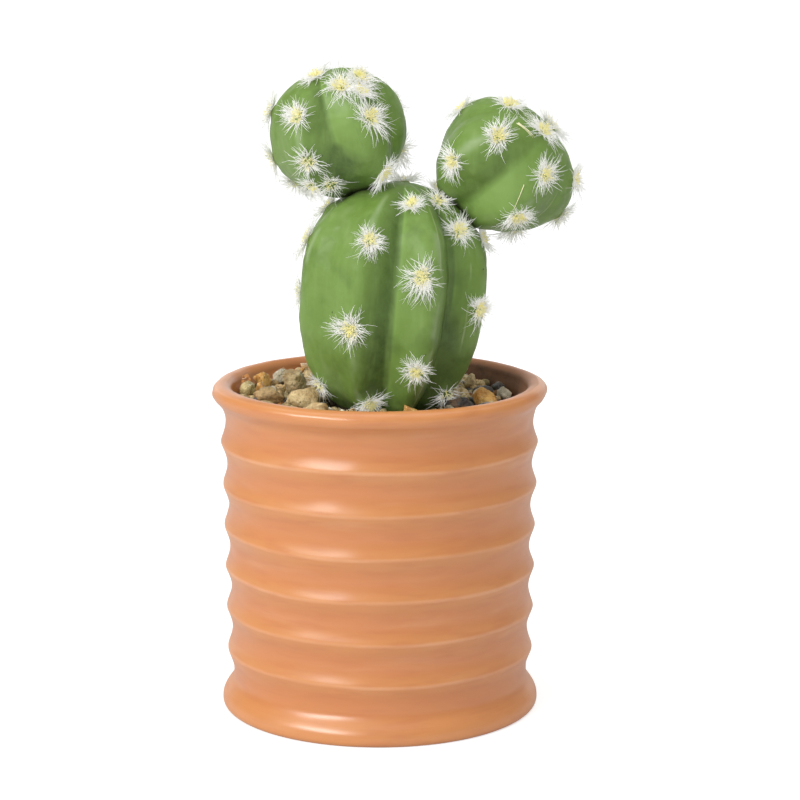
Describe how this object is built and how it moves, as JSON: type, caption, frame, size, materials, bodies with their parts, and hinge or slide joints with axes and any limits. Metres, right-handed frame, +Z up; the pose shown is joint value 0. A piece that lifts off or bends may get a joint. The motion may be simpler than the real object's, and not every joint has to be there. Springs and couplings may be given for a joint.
{
  "type": "potted cactus",
  "caption": "Ribbed cactus stem with two round offsets and white spine tufts, in a round terracotta pot with ringed walls, a rolled rim and a pebble mulch.",
  "frame": {"origin": "centre of the pot's flat underside", "axes": "+Z up along the pot's axis; +X towards the lower, tilted offset; -Y towards the front"},
  "size_m": [0.0971, 0.09, 0.1728],
  "materials": {
    "terracotta": "satin glaze, brighter on the rings' crests",
    "potting_mix": "matt, dark and crumbly",
    "cactus_green": "matt with a faint sheen, finely mottled",
    "pebble": "smooth, from beige and olive to orange and grey"
  },
  "bodies": {
    "root": {"pot": "terracotta", "potting_mix": "potting_mix", "main_stem": "cactus_green", "left_offset": "cactus_green", "right_offset": "cactus_green", "pebble_01": "pebble", "pebble_02": "pebble", "pebble_03": "pebble", "pebble_04": "pebble", "pebble_05": "pebble", "pebble_06": "pebble", "pebble_07": "pebble", "pebble_08": "pebble", "pebble_09": "pebble", "pebble_10": "pebble", "pebble_11": "pebble", "pebble_12": "pebble", "pebble_13": "pebble", "pebble_14": "pebble", "pebble_15": "pebble", "pebble_16": "pebble", "pebble_17": "pebble", "pebble_18": "pebble", "pebble_19": "pebble", "pebble_20": "pebble", "pebble_21": "pebble", "pebble_22": "pebble", "pebble_23": "pebble", "pebble_24": "pebble", "pebble_25": "pebble", "pebble_26": "pebble", "pebble_27": "pebble", "pebble_28": "pebble", "pebble_29": "pebble", "pebble_30": "pebble", "pebble_31": "pebble", "pebble_32": "pebble", "pebble_33": "pebble", "pebble_34": "pebble", "pebble_35": "pebble", "pebble_36": "pebble", "pebble_37": "pebble", "pebble_38": "pebble", "pebble_39": "pebble", "pebble_40": "pebble", "pebble_41": "pebble", "pebble_42": "pebble", "pebble_43": "pebble", "pebble_44": "pebble", "pebble_45": "pebble", "pebble_46": "pebble", "pebble_47": "pebble", "pebble_48": "pebble", "pebble_49": "pebble", "pebble_50": "pebble"}
  },
  "joints": []
}
